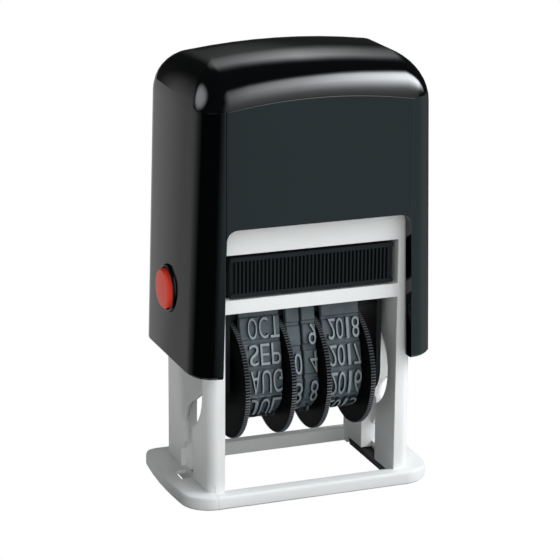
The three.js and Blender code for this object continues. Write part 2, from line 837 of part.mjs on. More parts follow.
// A side plate of the date unit, with its trunnion and guide pin moulded on
function unitSidePlate(side) {
  const half = axleForward + sidePlateEndRadius;
  const corner = sidePlateTop - sidePlateTopRadius;
  const reach = half - sidePlateTopRadius;
  const sheet = new THREE.Shape();
  sheet.moveTo(-half, corner);
  sheet.lineTo(-half, axleHeight);
  sheet.absarc(-axleForward, axleHeight, sidePlateEndRadius, Math.PI, 2 * Math.PI, false);
  sheet.lineTo(half, sidePlateShoulder);
  sheet.lineTo(half, corner);
  sheet.absarc(reach, corner, sidePlateTopRadius, 0, Math.PI / 2, false);
  sheet.absarc(-reach, corner, sidePlateTopRadius, Math.PI / 2, Math.PI, false);
  const middle = unitHalfWidth - sidePlateThickness / 2;
  const pinEnd = openingHalfWidth + guidePinReach;
  const body = joined([
    prismX(sheet, ...span(side, unitInnerHalf, unitHalfWidth), sheetCornerSteps),
    rodX(trunnionRadius, ...span(side, middle, armOuter - snug), 0, pivotHeight),
    rodX(guidePinRadius, ...span(side, middle, pinEnd), 0, pivotHeight - guidePinDrop),
  ]);
  const through = span(side, unitInnerHalf - overrun, unitHalfWidth + fit);
  const tenonSlot = box(
    ...through,
    -tenonHalfDepth - snug,
    tenonHalfDepth + snug,
    tenonBottom - snug,
    tenonBottom + tenonHeight + snug,
  );
  return cut(body, [rodX(axleBore, ...through, -axleForward, axleHeight), tenonSlot]);
}

// The platen: a rounded bar behind the type that prints, with a tenon into each side plate
function platen() {
  const halfLength = unitInnerHalf - fit;
  const start = Math.asin((platenBottom - noseHeight) / platenRadius);
  const bar = new THREE.Shape();
  bar.absarc(noseHalfFlat, noseHeight, platenRadius, start, Math.PI / 2, false);
  bar.absarc(-noseHalfFlat, noseHeight, platenRadius, Math.PI / 2, Math.PI - start, false);
  bar.closePath();
  const tenons = box(
    -unitHalfWidth,
    unitHalfWidth,
    -tenonHalfDepth,
    tenonHalfDepth,
    tenonBottom,
    tenonBottom + tenonHeight,
  );
  return prismX(bar, -halfLength, halfLength, 8).add(tenons);
}

function wheelAxle() {
  const outer = unitHalfWidth + snug;
  const head = outer + axleHeadThickness;
  const half = [
    [outer, axleRadius],
    [outer, axleHeadRadius],
    [head, axleHeadRadius],
    [head, 0],
  ];
  const mirrored = half.map(([along, radius]) => [-along, radius]).reverse();
  return turnedX([...mirrored, ...half], 1, -axleForward, axleHeight, roundSegments);
}

// The sleeve on the axle between the last wheel and the right side plate
function axleSpacer() {
  const left = columns[columns.length - 1].right + rimRoom + fit;
  const right = unitInnerHalf - fit;
  const sleeve = rodX(spacerRadius, left, right, -axleForward, axleHeight);
  return cut(sleeve, [rodX(axleBore, left - overrun, right + overrun, -axleForward, axleHeight)]);
}

// The closed line that a band follows at a distance outside its inner face: straight runs between
// the drum below and the platen's two shoulders above. Each point is [y, z].
function loopPoints(offset) {
  const circles = [
    { y: noseHalfFlat, z: noseHeight, r: noseRadius + offset },
    { y: -noseHalfFlat, z: noseHeight, r: noseRadius + offset },
    { y: -axleForward, z: axleHeight, r: drumRadius + fit + offset },
  ];
  const starts = circles.map((circle, i) => {
    const next = circles[(i + 1) % circles.length];
    const dy = next.y - circle.y;
    const dz = next.z - circle.z;
    const heading = Math.atan2(dz, dy);
    const lean = Math.asin((next.r - circle.r) / Math.hypot(dy, dz));
    return heading - Math.PI / 2 - lean;
  });
  const points = [];
  circles.forEach((circle, i) => {
    const from = starts[(i + circles.length - 1) % circles.length];
    let to = starts[i];
    while (to < from) to += 2 * Math.PI;
    for (let k = 0; k <= loopCornerSteps; k++) {
      const angle = from + ((to - from) * k) / loopCornerSteps;
      points.push([circle.y + circle.r * Math.cos(angle), circle.z + circle.r * Math.sin(angle)]);
    }
  });
  return points;
}

// Walks along a closed line: the point, and the way out of the loop there, at a share of its length
function walker(points) {
  const closed = [...points, points[0]];
  const lengths = [0];
  for (let i = 1; i < closed.length; i++) {
    const step = Math.hypot(closed[i][0] - closed[i - 1][0], closed[i][1] - closed[i - 1][1]);
    lengths.push(lengths[i - 1] + step);
  }
  const total = lengths[lengths.length - 1];
  return (share) => {
    const target = (((share % 1) + 1) % 1) * total;
    let i = 1;
    while (i < lengths.length - 1 && lengths[i] < target) i++;
    const part = (target - lengths[i - 1]) / (lengths[i] - lengths[i - 1] || 1);
    const y = closed[i - 1][0] + (closed[i][0] - closed[i - 1][0]) * part;
    const z = closed[i - 1][1] + (closed[i][1] - closed[i - 1][1]) * part;
    const dy = closed[i][0] - closed[i - 1][0];
    const dz = closed[i][1] - closed[i - 1][1];
    const size = Math.hypot(dy, dz) || 1;
    return { y, z, outY: dz / size, outZ: -dy / size };
  };
}

// The share of the loop at which its top middle lies, where a block prints
function topShare(at) {
  const samples = 2000;
  let best = 0;
  for (let i = 0; i < samples; i++) {
    const here = at(i / samples);
    const known = at(best);
    if (here.z > axleHeight + wheelRadius && Math.abs(here.y) < Math.abs(known.y)) best = i / samples;
  }
  return best;
}

// A band of type: a thin belt with raised blocks, one of them at the print place
function band(left, right) {
  const cord = bandBase * cordShare;
  const at = walker(loopPoints(cord));
  const top = topShare(at);
  const half = blockShare / blockCount / 2;
  const points = [];
  const put = (share, rise) => {
    const here = at(share);
    points.push([here.y + here.outY * rise, here.z + here.outZ * rise]);
  };
  for (let block = 0; block < blockCount; block++) {
    const middle = top + block / blockCount;
    put(middle - half, bandBase - cord);
    for (let k = 0; k <= blockSteps; k++) {
      put(middle - half + (2 * half * k) / blockSteps, bandThickness - cord);
    }
    put(middle + half, bandBase - cord);
  }
  const shape = polygon(points);
  const inner = loopPoints(0).filter((point, i) => i % 3 === 0);
  shape.holes.push(new THREE.Path(inner.map(([y, z]) => new THREE.Vector2(y, z))));
  return prismX(shape, left, right);
}

// A setting wheel: a serrated rim beside the band, and a drum inside it
function settingWheel(column) {
  const points = [];
  for (let i = 0; i < 2 * wheelTeeth; i++) {
    const angle = (Math.PI * i) / wheelTeeth;
    const radius = i % 2 === 0 ? wheelRadius : wheelRadius - toothDepth;
    points.push([-axleForward + radius * Math.cos(angle), axleHeight + radius * Math.sin(angle)]);
  }
  const near = column.rimSide > 0 ? column.right + rimInset : -column.left + rimInset;
  const rimSpan = span(column.rimSide, near, near + rimThickness);
  const drumSpan = [Math.min(column.left, rimSpan[0]), Math.max(column.right, rimSpan[1])];
  const drum = rodX(drumRadius, ...drumSpan, -axleForward, axleHeight, pocketSegments);
  const bore = [drumSpan[0] - overrun, drumSpan[1] + overrun];
  const pieces = [prismX(polygon(points), ...rimSpan), drum];
  if (column === columns[0]) {
    const hub = [-unitInnerHalf + fit, rimSpan[1]];
    pieces.push(rodX(spacerRadius, ...hub, -axleForward, axleHeight));
    bore[0] = hub[0] - overrun;
  }
  return cut(joined(pieces), [rodX(axleBore, ...bore, -axleForward, axleHeight)]);
}

const stamp = new THREE.Group();

function add(name, made, look) {
  const mesh = new THREE.Mesh(geometryOf(made), look);
  mesh.geometry.computeVertexNormals();
  mesh.name = name;
  stamp.add(mesh);
}

add("base_frame", baseFrame(), whitePlastic());
add("pad_cassette", padCassette(), blackPlastic());
add("pad_felt", padFelt(), felt());
add("cover_shell", coverShell(), blackGloss());
add("press_bridge", pressBridge(), blackPlastic());
add("return_spring", returnSpring(), steel());
add("platen", platen(), blackPlastic());
add("wheel_axle", wheelAxle(), steel());
add("axle_spacer", axleSpacer(), blackPlastic());
for (const [side, word] of [[-1, "left"], [1, "right"]]) {
  add("foot_strip_" + word, footStrip(side), blackRubber());
  add("lock_collar_" + word, lockCollar(side), blackGloss());
  add("lock_button_" + word, lockButton(side), redPlastic());
  add("unit_side_" + word, unitSidePlate(side), blackPlastic());
}
for (const column of columns) {
  add(column.name + "_band", band(column.left, column.right), bandRubber());
  add(column.name + "_wheel", settingWheel(column), blackPlastic());
}

console.log("least gap between the spring's curls, mm: " + springGap().toFixed(2));

export default stamp;
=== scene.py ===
"""A small self-inking date stamp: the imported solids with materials, type bands, a spring and a studio."""
import math

import bmesh
import bpy
from mathutils import Matrix, Vector


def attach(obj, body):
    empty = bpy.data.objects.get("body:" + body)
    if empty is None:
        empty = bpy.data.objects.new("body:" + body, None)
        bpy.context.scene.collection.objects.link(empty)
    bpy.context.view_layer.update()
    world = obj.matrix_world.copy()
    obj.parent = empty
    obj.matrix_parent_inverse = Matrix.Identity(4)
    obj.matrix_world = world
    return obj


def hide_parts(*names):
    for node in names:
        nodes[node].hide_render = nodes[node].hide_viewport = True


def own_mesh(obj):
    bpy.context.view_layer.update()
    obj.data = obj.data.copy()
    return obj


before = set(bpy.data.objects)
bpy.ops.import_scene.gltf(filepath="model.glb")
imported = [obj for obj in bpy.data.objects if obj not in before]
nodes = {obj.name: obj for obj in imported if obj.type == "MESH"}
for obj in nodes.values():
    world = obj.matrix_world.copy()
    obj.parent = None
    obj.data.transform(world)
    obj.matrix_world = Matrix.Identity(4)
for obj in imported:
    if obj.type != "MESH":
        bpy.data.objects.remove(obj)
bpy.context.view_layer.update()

MM = 0.001
AXLE_Y, AXLE_Z = -2.0, 16.4
WHEELS = ("month", "day_tens", "day_units", "year")


# The camera, fitted to the photograph's straight edges; the photograph is square
PHOTO_SIZE = 560
SENSOR_MM = 36.0
CAMERA_AZIMUTH = -21.238
CAMERA_ELEVATION = 16.831
CAMERA_ROLL = 0.476
CAMERA_FOCAL_PX = 2367.55
CAMERA_DISTANCE = 336.507
CAMERA_TARGET = (-1.230, 0.0, 29.224)
CAMERA_CLIP_START = 10.0


def place_camera():
    azimuth, elevation, roll = (math.radians(a) for a in (CAMERA_AZIMUTH, CAMERA_ELEVATION, CAMERA_ROLL))
    back = Vector((
        math.sin(azimuth) * math.cos(elevation),
        -math.cos(azimuth) * math.cos(elevation),
        math.sin(elevation),
    ))
    level = Vector((math.cos(azimuth), math.sin(azimuth), 0.0))
    upright = back.cross(level)
    right = math.cos(roll) * level + math.sin(roll) * upright
    up = math.cos(roll) * upright - math.sin(roll) * level
    place = (Vector(CAMERA_TARGET) + CAMERA_DISTANCE * back) * MM
    data = bpy.data.cameras.new("camera")
    data.sensor_fit = "HORIZONTAL"
    data.sensor_width = SENSOR_MM
    data.lens = CAMERA_FOCAL_PX * SENSOR_MM / PHOTO_SIZE
    data.clip_start = CAMERA_CLIP_START * MM
    camera = bpy.data.objects.new("camera", data)
    turn = Matrix((right, up, back)).transposed().to_4x4()
    camera.matrix_world = Matrix.Translation(place) @ turn
    bpy.context.scene.collection.objects.link(camera)
    bpy.context.scene.camera = camera


place_camera()


# Materials
class Nodes:
    """A short way to add and join shader nodes. A source is a socket or a plain value."""

    def __init__(self, tree, keep=False):
        self.tree = tree
        if not keep:
            tree.nodes.clear()

    def add(self, kind, **values):
        node = self.tree.nodes.new(kind)
        for key, value in values.items():
            setattr(node, key, value)
        return node

    def link(self, source, target):
        self.tree.links.new(source, target)

    def feed(self, socket, source):
        """Joins a socket to another, or gives it a plain value."""
        if isinstance(source, bpy.types.NodeSocket):
            self.link(source, socket)
        else:
            socket.default_value = source

    def math(self, operation, *sources):
        node = self.add("ShaderNodeMath", operation=operation)
        for socket, source in zip(node.inputs, sources):
            self.feed(socket, source)
        return node.outputs["Value"]

    def vector(self, operation, *sources):
        node = self.add("ShaderNodeVectorMath", operation=operation)
        for socket, source in zip(node.inputs, sources):
            self.feed(socket, source)
        return node.outputs["Value" if operation in ("LENGTH", "DOT_PRODUCT") else "Vector"]

    def parts(self, source):
        """A vector's X, Y and Z."""
        node = self.add("ShaderNodeSeparateXYZ")
        self.link(source, node.inputs["Vector"])
        return node.outputs["X"], node.outputs["Y"], node.outputs["Z"]

    def across(self, source, given, wanted=(0.0, 1.0), smooth=False):
        """Takes a source from the given range to the wanted one."""
        kind = "SMOOTHSTEP" if smooth else "LINEAR"
        node = self.add("ShaderNodeMapRange", interpolation_type=kind)
        for name, value in zip(("From Min", "From Max", "To Min", "To Max"), (*given, *wanted)):
            node.inputs[name].default_value = value
        self.link(source, node.inputs["Value"])
        return node.outputs["Result"]

    def mix(self, share, first, second):
        node = self.add("ShaderNodeMixRGB")
        self.link(share, node.inputs["Fac"])
        self.feed(node.inputs["Color1"], first)
        self.feed(node.inputs["Color2"], second)
        return node.outputs["Color"]

    def ramp(self, source, low, high, stops):
        """A level or colour that follows the stops, which are given in the source's own values."""
        ramp = self.add("ShaderNodeValToRGB")
        elements = ramp.color_ramp.elements
        while len(elements) < len(stops):
            elements.new(1.0)
        for element, (place, level) in zip(elements, stops):
            element.position = (place - low) / (high - low)
            element.color = (*level, 1.0) if isinstance(level, tuple) else (level, level, level, 1.0)
        self.link(self.across(source, (low, high)), ramp.inputs["Fac"])
        return ramp.outputs["Color"]


def shader_of(material):
    return next(n for n in material.node_tree.nodes if n.type == "BSDF_PRINCIPLED")


# Light under the surface: the reach of red, green and blue as shares, and their full reach in millimetres
UNDER_SHARES = (1.0, 1.0, 0.95)
UNDER_REACH = 3.0
# The noise levels between which the roughness drifts, and between which a second colour comes in
DRIFT_RANGE = (0.3, 0.7)
MOTTLE_FROM, MOTTLE_TO = 0.35, 0.65
# How finely the drift and the grain are broken up, and the grain's depth in millimetres
DRIFT_DETAIL, GRAIN_DETAIL = 6.0, 3.0
GRAIN_DEPTH = 0.04


def plastic(name, colour, roughness, *, sheen_share=0.06, grain=700.0, bump=0.04, ior=1.5, mottle=None,
            mottle_scale=60.0, under=0.0, specular=0.5):
    """Moulded plastic or rubber: fine grain in the relief, and a roughness that drifts a little."""
    material = bpy.data.materials.new(name)
    material.use_nodes = True
    tree = Nodes(material.node_tree)
    out = tree.add("ShaderNodeOutputMaterial")
    shader = tree.add("ShaderNodeBsdfPrincipled")
    shader.inputs["IOR"].default_value = ior
    shader.inputs["Coat Weight"].default_value = 0.0
    shader.inputs["Specular IOR Level"].default_value = specular
    shader.inputs["Subsurface Weight"].default_value = under
    shader.inputs["Subsurface Radius"].default_value = UNDER_SHARES
    shader.inputs["Subsurface Scale"].default_value = UNDER_REACH * MM
    shader.inputs["Base Color"].default_value = (*colour, 1.0)
    tree.link(shader.outputs["BSDF"], out.inputs["Surface"])
    where = tree.add("ShaderNodeTexCoord")
    drift = tree.add("ShaderNodeTexNoise")
    drift.inputs["Scale"].default_value = mottle_scale
    drift.inputs["Detail"].default_value = DRIFT_DETAIL
    tree.link(where.outputs["Object"], drift.inputs["Vector"])
    least, most = roughness * (1.0 - sheen_share), roughness * (1.0 + sheen_share)
    tree.link(tree.across(drift.outputs["Fac"], DRIFT_RANGE, (least, most)), shader.inputs["Roughness"])
    if mottle:
        stops = [(MOTTLE_FROM, colour), (MOTTLE_TO, mottle)]
        tree.link(tree.ramp(drift.outputs["Fac"], 0.0, 1.0, stops), shader.inputs["Base Color"])
    fine = tree.add("ShaderNodeTexNoise")
    fine.inputs["Scale"].default_value = grain
    fine.inputs["Detail"].default_value = GRAIN_DETAIL
    tree.link(where.outputs["Object"], fine.inputs["Vector"])
    relief = tree.add("ShaderNodeBump")
    relief.inputs["Strength"].default_value = bump
    relief.inputs["Distance"].default_value = GRAIN_DEPTH * MM
    tree.link(fine.outputs["Fac"], relief.inputs["Height"])
    tree.link(relief.outputs["Normal"], shader.inputs["Normal"])
    return material


def crowned(material, tilt_per_metre, from_y):
    """The sides are a little crowned from front to rear, which the flat solid leaves out."""
    tree = Nodes(material.node_tree, keep=True)
    normal = tree.add("ShaderNodeNewGeometry").outputs["Normal"]
    where = tree.add("ShaderNodeTexCoord").outputs["Object"]
    sideways = tree.math("ABSOLUTE", tree.parts(normal)[0])
    along = tree.math("SUBTRACT", tree.parts(where)[1], from_y)
    lean = tree.math("MULTIPLY", along, sideways)
    offset = tree.add("ShaderNodeCombineXYZ")
    tree.link(tree.math("MULTIPLY", lean, tilt_per_metre), offset.inputs["Y"])
    turned = tree.vector("ADD", normal, offset.outputs["Vector"])
    tree.link(tree.vector("NORMALIZE", turned), shader_of(material).inputs["Normal"])


def grooved(material, half_width, at, top, line, depth, bow=0.0):
    """A fine groove at both sides of a place, and across at a height that may bow up in the middle."""
    tree = Nodes(material.node_tree, keep=True)
    shader = shader_of(material)
    before = shader.inputs["Normal"].links[0].from_socket
    x, _, z = tree.parts(tree.add("ShaderNodeTexCoord").outputs["Object"])
    sideways = tree.math("ABSOLUTE", tree.math("SUBTRACT", x, at))
    beyond = tree.math("SUBTRACT", sideways, half_width)
    square = tree.math("MULTIPLY", sideways, sideways)
    bow_rate = bow / half_width ** 2 if bow else 0.0
    above = tree.math("SUBTRACT", tree.math("MULTIPLY_ADD", square, bow_rate, z), top + bow)
    distance = tree.math("ABSOLUTE", tree.math("MAXIMUM", beyond, above))
    relief = tree.add("ShaderNodeBump")
    relief.inputs["Distance"].default_value = depth
    tree.link(tree.across(distance, (0.0, line), smooth=True), relief.inputs["Height"])
    tree.link(before, relief.inputs["Normal"])
    tree.link(relief.outputs["Normal"], shader.inputs["Normal"])


def thin_walled(material, radius, height, from_x, weight, scale):
    """The skin behind the cam space is thin enough to let light through."""
    tree = Nodes(material.node_tree, keep=True)
    shader = shader_of(material)
    x, y, z = tree.parts(tree.add("ShaderNodeTexCoord").outputs["Object"])
    flat = tree.add("ShaderNodeCombineXYZ")
    tree.link(y, flat.inputs["Y"])
    tree.link(tree.math("SUBTRACT", z, height), flat.inputs["Z"])
    within = tree.math("LESS_THAN", tree.vector("LENGTH", flat.outputs["Vector"]), radius)
    outside = tree.math("GREATER_THAN", tree.math("ABSOLUTE", x), from_x)
    both = tree.math("MULTIPLY", within, outside)
    for socket, most in (("Subsurface Weight", weight), ("Subsurface Scale", scale)):
        least = shader.inputs[socket].default_value
        tree.link(tree.across(both, (0.0, 1.0), (least, most)), shader.inputs[socket])


def painted_tip_glint(material, valley, tip, colour):
    """A painted glint on the teeth round the wheels' axle: dark up to one radius and brighter from the next
    one on, where the tips would catch the light.
    """
    tree = Nodes(material.node_tree, keep=True)
    base = shader_of(material).inputs["Base Color"]
    where = tree.add("ShaderNodeTexCoord").outputs["Object"]
    arm = tree.vector("SUBTRACT", where, (0.0, AXLE_Y * MM, AXLE_Z * MM))
    reach = tree.vector("LENGTH", tree.vector("MULTIPLY", arm, (0.0, 1.0, 1.0)))
    level = tree.across(reach, (valley, tip), smooth=True)
    tree.link(tree.mix(level, base.default_value, (*colour, 1.0)), base)


def metal(name, colour, roughness):
    material = plastic(name, colour, roughness, sheen_share=0.2, grain=2500.0, bump=0.1)
    shader_of(material).inputs["Metallic"].default_value = 1.0
    return material


# The sides' crown: how fast the normal turns, and the place in millimetres where it hasn't turned
SIDE_TILT_PER_METRE = 13.0
CROWN_FROM_Y = 9.0
# The panel line on the cover, the parting line on the foot plate, the thin skin, and the radii over which the
# teeth's painted glint comes in, in millimetres
LINE_WIDTH = 0.12
PANEL_HALF_WIDTH = 13.75
PANEL_TOP = 57.0
PANEL_BOW = 1.2
PANEL_LINE_DEPTH = 0.03
PARTING_X = -14.4
PARTING_TOP = 3.0
PARTING_LINE_DEPTH = 0.06
SKIN_RADIUS = 6.8
SKIN_HEIGHT = 15.9
SKIN_FROM_X = 14.0
SKIN_REACH = 8.0
TOOTH_NO_GLINT_TO = 8.60
TOOTH_FULL_GLINT_FROM = 8.72

WHITE = plastic("white_moulding", (0.80, 0.815, 0.81), 0.42, bump=0.05, under=0.1)
GLOSS = plastic("black_gloss", (0.0010, 0.0014, 0.0016), 0.055, bump=0.0, grain=300.0, sheen_share=0.1)
crowned(GLOSS, SIDE_TILT_PER_METRE, CROWN_FROM_Y * MM)
grooved(GLOSS, PANEL_HALF_WIDTH * MM, 0.0, PANEL_TOP * MM, LINE_WIDTH * MM, PANEL_LINE_DEPTH * MM,
        bow=PANEL_BOW * MM)
grooved(WHITE, 0.0, PARTING_X * MM, PARTING_TOP * MM, LINE_WIDTH * MM, PARTING_LINE_DEPTH * MM)
thin_walled(WHITE, SKIN_RADIUS * MM, SKIN_HEIGHT * MM, SKIN_FROM_X * MM, 1.0, SKIN_REACH * MM)
SATIN = plastic("black_satin", (0.006, 0.007, 0.008), 0.42, bump=0.1, specular=0.25)
DISC = plastic("black_disc", (0.004, 0.005, 0.005), 0.5, bump=0.08, ior=1.08)
KNURL_WITH_GLINT = plastic("black_knurl_painted_glint", (0.004, 0.004, 0.005), 0.4, bump=0.08, specular=0.2)
# A painted glint: the teeth's tips are coloured brighter where they would catch the light.
painted_tip_glint(KNURL_WITH_GLINT, TOOTH_NO_GLINT_TO * MM, TOOTH_FULL_GLINT_FROM * MM, (0.08, 0.09, 0.10))
RED = plastic("red_button", (0.90, 0.065, 0.035), 0.35, bump=0.03, specular=0.15)
RUBBER = plastic("band_rubber", (0.068, 0.092, 0.105), 0.5, bump=0.3,
                 mottle=(0.100, 0.128, 0.145), mottle_scale=500.0)
# Painted shade: a darker copy of the band rubber for the characters' sides and feet, where the recesses fall
# into shade.
RECESS_SHADE = plastic("band_recess_painted_shade", (0.018, 0.028, 0.036), 0.6, bump=0.3,
                 mottle=(0.032, 0.046, 0.056), mottle_scale=700.0)
TYPE = plastic("band_type", (0.215, 0.262, 0.290), 0.45, bump=0.3,
               mottle=(0.285, 0.340, 0.370), mottle_scale=900.0)
FOOT = plastic("foot_rubber", (0.010, 0.010, 0.010), 0.85, bump=0.5)
FELT = plastic("ink_felt", (0.012, 0.012, 0.018), 1.0, bump=1.0, grain=3000.0,
               mottle=(0.03, 0.03, 0.04), mottle_scale=1500.0)
STEEL = metal("bright_steel", (0.60, 0.62, 0.64), 0.28)

LOOKS = {
    "base_frame": WHITE,
    "cover_shell": GLOSS,
    "lock_collar_left": GLOSS,
    "lock_collar_right": GLOSS,
    "lock_button_left": RED,
    "lock_button_right": RED,
    "pad_cassette": SATIN,
    "pad_felt": FELT,
    "press_bridge": SATIN,
    "platen": SATIN,
    "axle_spacer": SATIN,
    "unit_side_left": SATIN,
    "unit_side_right": SATIN,
    "wheel_axle": STEEL,
    "foot_strip_left": FOOT,
    "foot_strip_right": FOOT,
}
for name in WHEELS:
    LOOKS[name + "_wheel"] = DISC

SMOOTH_BELOW = math.radians(32.0)
WELD_REACH = 0.001


def smooth(obj, angle=SMOOTH_BELOW):
    """Round faces look round, and edges sharper than the angle stay sharp."""
    for face in obj.data.polygons:
        face.use_smooth = True
    weld = obj.modifiers.new("joined", "WELD")
    weld.merge_threshold = WELD_REACH * MM
    split = obj.modifiers.new("edges", "EDGE_SPLIT")
    split.split_angle = angle
    weigh = obj.modifiers.new("flats", "WEIGHTED_NORMAL")
    weigh.keep_sharp = True


def dress(name, material):
    obj = nodes[name]
    obj.data.materials.clear()
    obj.data.materials.append(material)
    smooth(obj)


for name, material in LOOKS.items():
    dress(name, material)

# The wheels' rims carry a painted glint at the teeth's tips. A face whose normal points mostly along X is a
# dull side.
SIDE_FROM = 0.5
for name in WHEELS:
    data = nodes[name + "_wheel"].data
    data.materials.append(KNURL_WITH_GLINT)
    for face in data.polygons:
        face.material_index = 0 if abs(face.normal.x) > SIDE_FROM else 1


# Type bands: the same loop as the solids', with lower blocks and raised characters on them
TYPE_HEIGHT = 30.0
HUB_RADIUS = 4.7
BAND_BASE = 0.7
PAD_RISE = 0.25
BAND_THICKNESS = 1.5
NOSE_RADIUS = 3.0
NOSE_Y = 1.8
NOSE_Z = TYPE_HEIGHT - BAND_THICKNESS - NOSE_RADIUS
ROWS = 13
BLOCK_SHARE = 0.84
BLOCK_EDGE = 0.10
BLOCK_STEPS = 8
CORNER_STEPS = 40
LOOP_SAMPLES = 4000
CORD_SHARE = 0.7
CORD = BAND_BASE * CORD_SHARE


def loop_points(offset):
    circles = [
        (NOSE_Y, NOSE_Z, NOSE_RADIUS + offset),
        (-NOSE_Y, NOSE_Z, NOSE_RADIUS + offset),
        (AXLE_Y, AXLE_Z, HUB_RADIUS + offset),
    ]
    starts = []
    for (y0, z0, r0), (y1, z1, r1) in zip(circles, circles[1:] + circles[:1]):
        heading = math.atan2(z1 - z0, y1 - y0)
        lean = math.asin((r1 - r0) / math.hypot(y1 - y0, z1 - z0))
        starts.append(heading - math.pi / 2 - lean)
    points = []
    for i, (y, z, r) in enumerate(circles):
        start = starts[i - 1]
        end = starts[i]
        while end < start:
            end += 2 * math.pi
        for k in range(CORNER_STEPS + 1):
            angle = start + (end - start) * k / CORNER_STEPS
            points.append((y + r * math.cos(angle), z + r * math.sin(angle)))
    return points


class Loop:
    """Walks along the band's cord: a point and the way out of the loop at a distance from the print place."""

    def __init__(self, points):
        self.points = points + points[:1]
        self.lengths = [0.0]
        for (y0, z0), (y1, z1) in zip(self.points, self.points[1:]):
            self.lengths.append(self.lengths[-1] + math.hypot(y1 - y0, z1 - z0))
        self.total = self.lengths[-1]
        tops = [i / LOOP_SAMPLES * self.total for i in range(LOOP_SAMPLES)]
        self.start = 0.0
        self.start = min(tops, key=lambda s: (self.at(s)[1] < NOSE_Z, abs(self.at(s)[0])))

    def at(self, distance):
        target = (self.start + distance) % self.total
        i = 1
        while i < len(self.lengths) - 1 and self.lengths[i] < target:
            i += 1
        (y0, z0), (y1, z1) = self.points[i - 1], self.points[i]
        step = (self.lengths[i] - self.lengths[i - 1]) or 1.0
        part = (target - self.lengths[i - 1]) / step
        size = math.hypot(y1 - y0, z1 - z0) or 1.0
        return (y0 + (y1 - y0) * part, z0 + (z1 - z0) * part, (z1 - z0) / size, -(y1 - y0) / size)

    def place(self, x, distance, rise):
        """A point at a rise above the band's inner face."""
        y, z, out_y, out_z = self.at(distance)
        return Vector((x, y + out_y * (rise - CORD), z + out_z * (rise - CORD))) * MM


LOOP = Loop(loop_points(CORD))


class Rows:
    """Where each row of a band lies along the loop: the print place at row 0, down the front, back up."""

    def __init__(self, anchors):
        self.anchors = [(0, 0.0)] + list(anchors) + [(ROWS, LOOP.total)]

    def middle(self, row):
        spans = zip(self.anchors, self.anchors[1:])
        (low, near), (high, far) = next(span for span in spans if row <= span[1][0])
        return near + (far - near) * (row - low) / (high - low)

    def half(self, row):
        """Half a block's length: the share of the narrower of the two steps beside it."""
        after = self.middle(row + 1) - self.middle(row)
        before = self.middle(row) - self.middle(row - 1) if row > 0 else after
        return BLOCK_SHARE * min(after, before) / 2


def mesh_object(name, bm, material, body, angle=SMOOTH_BELOW):
    data = bpy.data.meshes.new(name)
    bmesh.ops.recalc_face_normals(bm, faces=bm.faces)
    bm.to_mesh(data)
    bm.free()
    obj = bpy.data.objects.new(name, data)
    bpy.context.scene.collection.objects.link(obj)
    data.materials.append(material)
    smooth(obj, angle)
    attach(obj, body)
    return obj


def band_belt(name, left, right, at_rows):
    """The belt with its plain blocks, softened at every edge."""
    edge = BLOCK_EDGE
    profile = []
    for row in range(ROWS):
        middle, half = at_rows.middle(row), at_rows.half(row)
        profile += [(middle - half - edge, BAND_BASE), (middle - half, BAND_BASE + PAD_RISE - edge)]
        flat_half = half - edge
        for k in range(BLOCK_STEPS + 1):
            profile.append((middle - flat_half + 2 * flat_half * k / BLOCK_STEPS, BAND_BASE + PAD_RISE))
        profile += [(middle + half, BAND_BASE + PAD_RISE - edge), (middle + half + edge, BAND_BASE)]
    bm = bmesh.new()
    across = [(left, edge), (left + edge, 0.0), (right - edge, 0.0), (right, edge)]
    rings = []
    for x, drop in across:
        rings.append([bm.verts.new(LOOP.place(x, distance, rise - drop)) for distance, rise in profile])
    undersides = []
    for x in (left, right):
        undersides.append([bm.verts.new(LOOP.place(x, distance, 0.0)) for distance, _ in profile])
    walls = [undersides[0]] + rings + [undersides[1]]
    count = len(profile)
    for a, b in zip(walls, walls[1:] + walls[:1]):
        for i in range(count):
            j = (i + 1) % count
            bm.faces.new((a[i], a[j], b[j], b[i]))
    return mesh_object(name + "_belt", bm, RUBBER, "date_unit")


CHARACTER_HEIGHT = 3.0
CHARACTER_WEIGHT = -0.004
CHARACTER_CURVE_STEPS = 6
CHARACTER_SLICES = 6
CHARACTER_SMOOTH_BELOW = math.radians(20.0)
FOOT_SINK = 0.05
FACE_SINK = 0.02
FOOT_RISE = BAND_BASE + PAD_RISE - FOOT_SINK
FACE_RISE = BAND_THICKNESS - FACE_SINK
NARROW_SHARES = {"1": 0.38, "J": 0.85}


def glyph_mesh(text):
    """A flat mesh of one character, with its lowest left corner at the origin and both sizes 1."""
    curve = bpy.data.curves.new("type", "FONT")
    curve.body = text
    curve.offset = CHARACTER_WEIGHT
    curve.resolution_u = CHARACTER_CURVE_STEPS
    obj = bpy.data.objects.new("type", curve)
    bpy.context.scene.collection.objects.link(obj)
    bpy.context.view_layer.update()
    flat = bpy.data.meshes.new_from_object(obj.evaluated_get(bpy.context.evaluated_depsgraph_get()))
    bpy.data.objects.remove(obj)
    bm = bmesh.new()
    bm.from_mesh(flat)
    bpy.data.meshes.remove(flat)
    bpy.data.curves.remove(curve)
    xs = [v.co.x for v in bm.verts]
    ys = [v.co.y for v in bm.verts]
    for v in bm.verts:
        v.co.x = (v.co.x - min(xs)) / (max(xs) - min(xs))
        v.co.y = (v.co.y - min(ys)) / (max(ys) - min(ys))
        v.co.z = 0.0
    bmesh.ops.remove_doubles(bm, verts=bm.verts, dist=1e-4)
    for k in range(1, CHARACTER_SLICES):
        geometry = list(bm.verts) + list(bm.edges) + list(bm.faces)
        bmesh.ops.bisect_plane(bm, geom=geometry, plane_co=(0, k / CHARACTER_SLICES, 0), plane_no=(0, 1, 0))
    return bm


